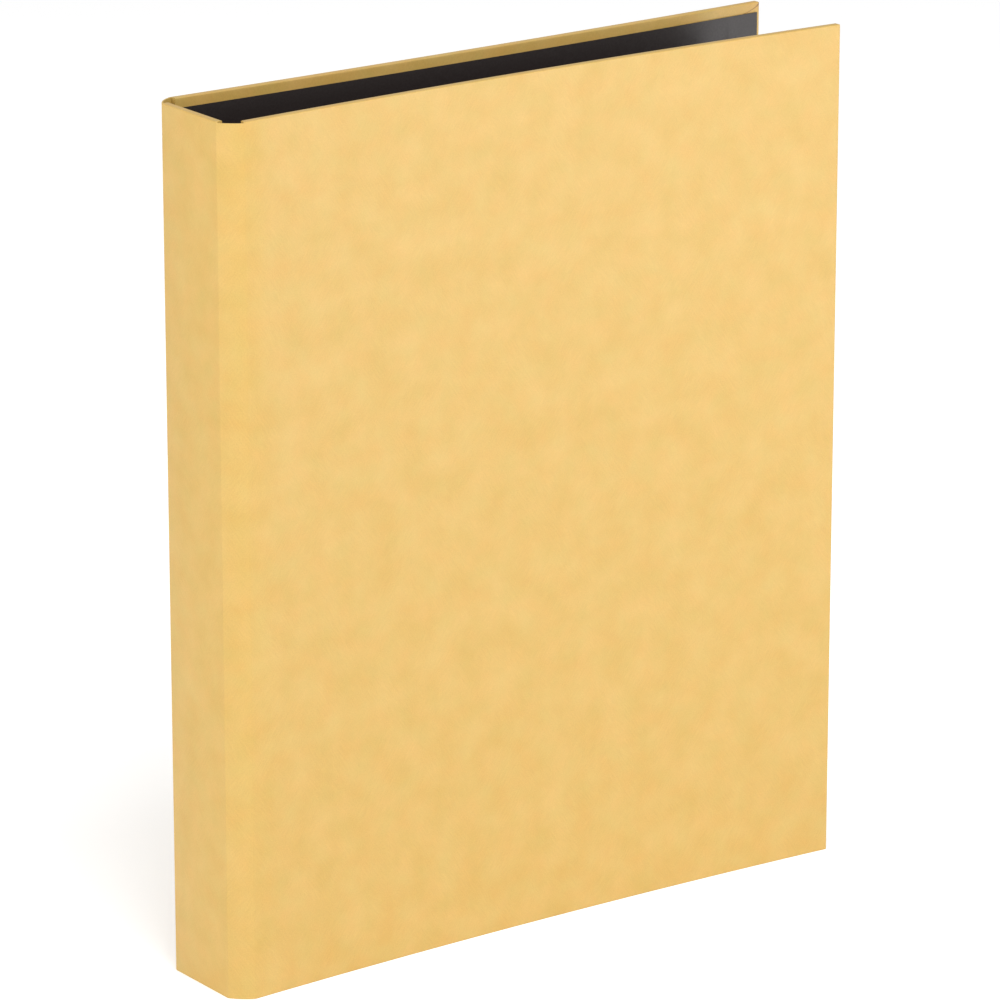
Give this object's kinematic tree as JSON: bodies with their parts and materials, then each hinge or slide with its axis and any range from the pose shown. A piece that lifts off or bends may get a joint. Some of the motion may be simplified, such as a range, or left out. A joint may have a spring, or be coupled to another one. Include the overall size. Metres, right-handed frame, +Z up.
{
  "type": "scrapbook album",
  "caption": "Upright case album covered in mottled yellow paper with black lining, hinged covers, an opening ring mechanism in the spine and punched black card leaves.",
  "frame": {"origin": "middle of the bottom of the closed album, on the surface it stands on", "axes": "+Z up along the spine from tail to head, +X from the spine to the fore edge, +Y from the front cover to the rear cover"},
  "size_m": [0.268, 0.0504, 0.32],
  "materials": {
    "greyboard": "matt grey-brown binder's board",
    "cover_paper": "mottled straw-yellow embossed covering paper, satin",
    "lining_paper": "smooth black lining paper, slight sheen",
    "ring_steel": "nickel-plated steel, bright",
    "housing_steel": "nickel-plated steel sheet, bright",
    "rivet_steel": "nickel-plated steel, satin",
    "leaf_card": "black scrapbook card, matt"
  },
  "bodies": {
    "spine": {"spine_board": "greyboard", "spine_wrap": "cover_paper", "spine_lining": "lining_paper", "front_joint": "cover_paper", "front_joint_lining": "lining_paper", "rear_joint": "cover_paper", "rear_joint_lining": "lining_paper", "ring_housing": "housing_steel", "housing_rivets": "rivet_steel"},
    "front_cover": {"front_board": "greyboard", "front_wrap": "cover_paper", "front_lining": "lining_paper"},
    "rear_cover": {"rear_board": "greyboard", "rear_wrap": "cover_paper", "rear_lining": "lining_paper"},
    "front_rings": {"front_blade": "housing_steel", "front_half_rings": "ring_steel"},
    "rear_rings": {"rear_blade": "housing_steel", "rear_half_rings": "ring_steel"},
    "head_lever": {"head_lever": "housing_steel"},
    "tail_lever": {"tail_lever": "housing_steel"},
    "leaf_1": {"leaf_1": "leaf_card"},
    "leaf_2": {"leaf_2": "leaf_card"},
    "leaf_3": {"leaf_3": "leaf_card"},
    "leaf_4": {"leaf_4": "leaf_card"},
    "leaf_5": {"leaf_5": "leaf_card"},
    "leaf_6": {"leaf_6": "leaf_card"}
  },
  "joints": [
    {"name": "front_cover_hinge", "type": "hinge", "parent": "spine", "child": "front_cover", "pos_m": [-0.13195, -0.02317, 0.16], "axis": [0, 0, -1], "range_deg": [0, 175], "deforming": ["front_joint", "front_joint_lining"]},
    {"name": "rear_cover_hinge", "type": "hinge", "parent": "spine", "child": "rear_cover", "pos_m": [-0.13195, 0.01923, 0.16], "axis": [0, 0, 1], "range_deg": [0, 175], "deforming": ["rear_joint", "rear_joint_lining"]},
    {"name": "ring_opening", "type": "hinge", "parent": "spine", "child": "front_rings", "pos_m": [-0.129, -0.01077, 0.16], "axis": [0, 0, -1], "range_deg": [0, 8]},
    {"name": "rear_ring_opening", "type": "hinge", "parent": "spine", "child": "rear_rings", "pos_m": [-0.129, 0.00683, 0.16], "axis": [0, 0, 1], "range_deg": [0, 8]},
    {"name": "head_lever_press", "type": "hinge", "parent": "spine", "child": "head_lever", "pos_m": [-0.127, -0.00197, 0.2985], "axis": [0, -1, 0], "range_deg": [0, 20]},
    {"name": "tail_lever_press", "type": "hinge", "parent": "spine", "child": "tail_lever", "pos_m": [-0.127, -0.00197, 0.0215], "axis": [0, 1, 0], "range_deg": [0, 20]},
    {"name": "leaf_1_turn", "type": "hinge", "parent": "spine", "child": "leaf_1", "pos_m": [-0.112, -0.00197, 0.16], "axis": [0, 0, -1], "range_deg": [0, 105]},
    {"name": "leaf_2_turn", "type": "hinge", "parent": "spine", "child": "leaf_2", "pos_m": [-0.112, -0.00197, 0.16], "axis": [0, 0, -1], "range_deg": [0, 70]},
    {"name": "leaf_3_turn", "type": "hinge", "parent": "spine", "child": "leaf_3", "pos_m": [-0.112, -0.00197, 0.16], "axis": [0, 0, -1], "range_deg": [0, 35]},
    {"name": "leaf_4_turn", "type": "hinge", "parent": "spine", "child": "leaf_4", "pos_m": [-0.112, -0.00197, 0.16], "axis": [0, 0, 1], "range_deg": [0, 35]},
    {"name": "leaf_5_turn", "type": "hinge", "parent": "spine", "child": "leaf_5", "pos_m": [-0.112, -0.00197, 0.16], "axis": [0, 0, 1], "range_deg": [0, 70]},
    {"name": "leaf_6_turn", "type": "hinge", "parent": "spine", "child": "leaf_6", "pos_m": [-0.112, -0.00197, 0.16], "axis": [0, 0, 1], "range_deg": [0, 105]}
  ],
  "couplings": [
    {"joint": "rear_ring_opening", "follows": "ring_opening", "ratio": 1},
    {"joint": "head_lever_press", "follows": "ring_opening", "ratio": 2.5},
    {"joint": "tail_lever_press", "follows": "ring_opening", "ratio": 2.5},
    {"joint": "leaf_1_turn", "follows": "front_cover_hinge", "ratio": 0.6},
    {"joint": "leaf_2_turn", "follows": "front_cover_hinge", "ratio": 0.4},
    {"joint": "leaf_3_turn", "follows": "front_cover_hinge", "ratio": 0.2},
    {"joint": "leaf_4_turn", "follows": "rear_cover_hinge", "ratio": 0.2},
    {"joint": "leaf_5_turn", "follows": "rear_cover_hinge", "ratio": 0.4},
    {"joint": "leaf_6_turn", "follows": "rear_cover_hinge", "ratio": 0.6}
  ]
}
